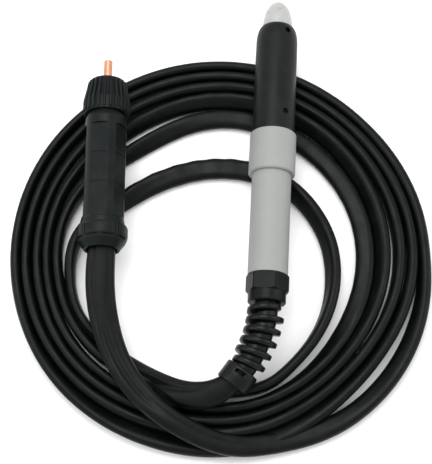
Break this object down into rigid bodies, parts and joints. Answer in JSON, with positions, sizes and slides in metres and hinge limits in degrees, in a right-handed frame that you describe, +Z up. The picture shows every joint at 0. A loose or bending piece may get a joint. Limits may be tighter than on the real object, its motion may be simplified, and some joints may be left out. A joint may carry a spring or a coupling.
{
  "type": "mig welding torch",
  "caption": "Straight MIG welding torch with a push-on nozzle cap, grey handle tube, spiral bend relief, coiled sheathed cable and a central plug with a spinning coupling nut.",
  "frame": {"origin": "on the torch axis, inside the plain length of the front barrel that a holder clamps", "axes": "+Y along the torch towards the wire outlet, +Z up from the surface that the cable lies on, +X to the right"},
  "size_m": [0.4319, 0.4868, 0.0726],
  "materials": {
    "cap_plastic": "milky translucent push-on cap, softly glossy",
    "copper": "bare drawn copper, lightly polished",
    "brass": "machined brass",
    "ceramic": "matt cream insulating ring",
    "steel": "zinc-plated or stainless steel",
    "barrel_black": "smooth satin black glass-filled nylon",
    "handle_grey": "fine matt light grey moulded plastic",
    "gland_black": "satin black polyamide",
    "relief_black": "satin black flexible moulding",
    "clamp_grey": "plain grey polyamide",
    "rubber": "black nitrile rubber",
    "sheath_black": "smooth satin black sheath with soft lengthwise folds",
    "plug_black": "fine matt black glass-filled nylon"
  },
  "bodies": {
    "torch": {"gas_nozzle": "copper", "contact_tip": "copper", "gas_diffuser": "brass", "nozzle_insulator": "ceramic", "nozzle_holder_ring": "steel", "front_barrel": "barrel_black", "rear_support_ring": "steel", "barrel_screws": "steel", "conductor_tube": "brass", "wire_liner": "steel", "collar_sleeve": "handle_grey", "collar_o_rings": "rubber", "handle_tube": "handle_grey", "handle_end_bush": "steel", "cable_ferrule": "copper", "gland_body": "gland_black", "gland_seal": "rubber", "gland_claw": "clamp_grey", "gland_nut": "gland_black", "bend_relief": "relief_black", "cable_torch_lead": "sheath_black", "cable_coil": "sheath_black", "cable_plug_lead": "sheath_black", "rear_lock_ring": "plug_black", "plug_cable_clamp": "clamp_grey", "plug_hose_tail": "sheath_black", "plug_ferrule": "brass", "plug_handle": "plug_black", "plug_handle_screws": "steel", "plug_body": "brass", "plug_face": "plug_black", "nut_thrust_washer": "steel", "nut_circlip": "steel", "power_pin": "brass", "wire_inlet_tube": "copper", "gas_nipple": "brass", "gas_o_ring": "rubber", "contact_spring_left": "steel", "contact_spring_right": "steel"},
    "cap": {"protective_cap": "cap_plastic"},
    "nut": {"coupling_nut": "plug_black"},
    "contact_left": {"contact_pin_left": "brass"},
    "contact_right": {"contact_pin_right": "brass"}
  },
  "joints": [
    {"name": "cap_pull_off", "type": "slide", "parent": "torch", "child": "cap", "axis": [0, 1, 0], "range_m": [0, 0.04]},
    {"name": "coupling_nut_spin", "type": "hinge", "parent": "torch", "child": "nut", "pos_m": [-0.17373, -0.02119, 0.003], "axis": [-0.0523, 0.9986, 0], "continuous": true},
    {"name": "contact_left_press", "type": "slide", "parent": "torch", "child": "contact_left", "axis": [0.0523, -0.9986, 0], "range_m": [0, 0.003], "stiffness_N_per_m": 300, "springref_m": -0.002, "deforming": ["contact_spring_left"]},
    {"name": "contact_right_press", "type": "slide", "parent": "torch", "child": "contact_right", "axis": [0.0523, -0.9986, 0], "range_m": [0, 0.003], "stiffness_N_per_m": 300, "springref_m": -0.002, "deforming": ["contact_spring_right"]}
  ]
}
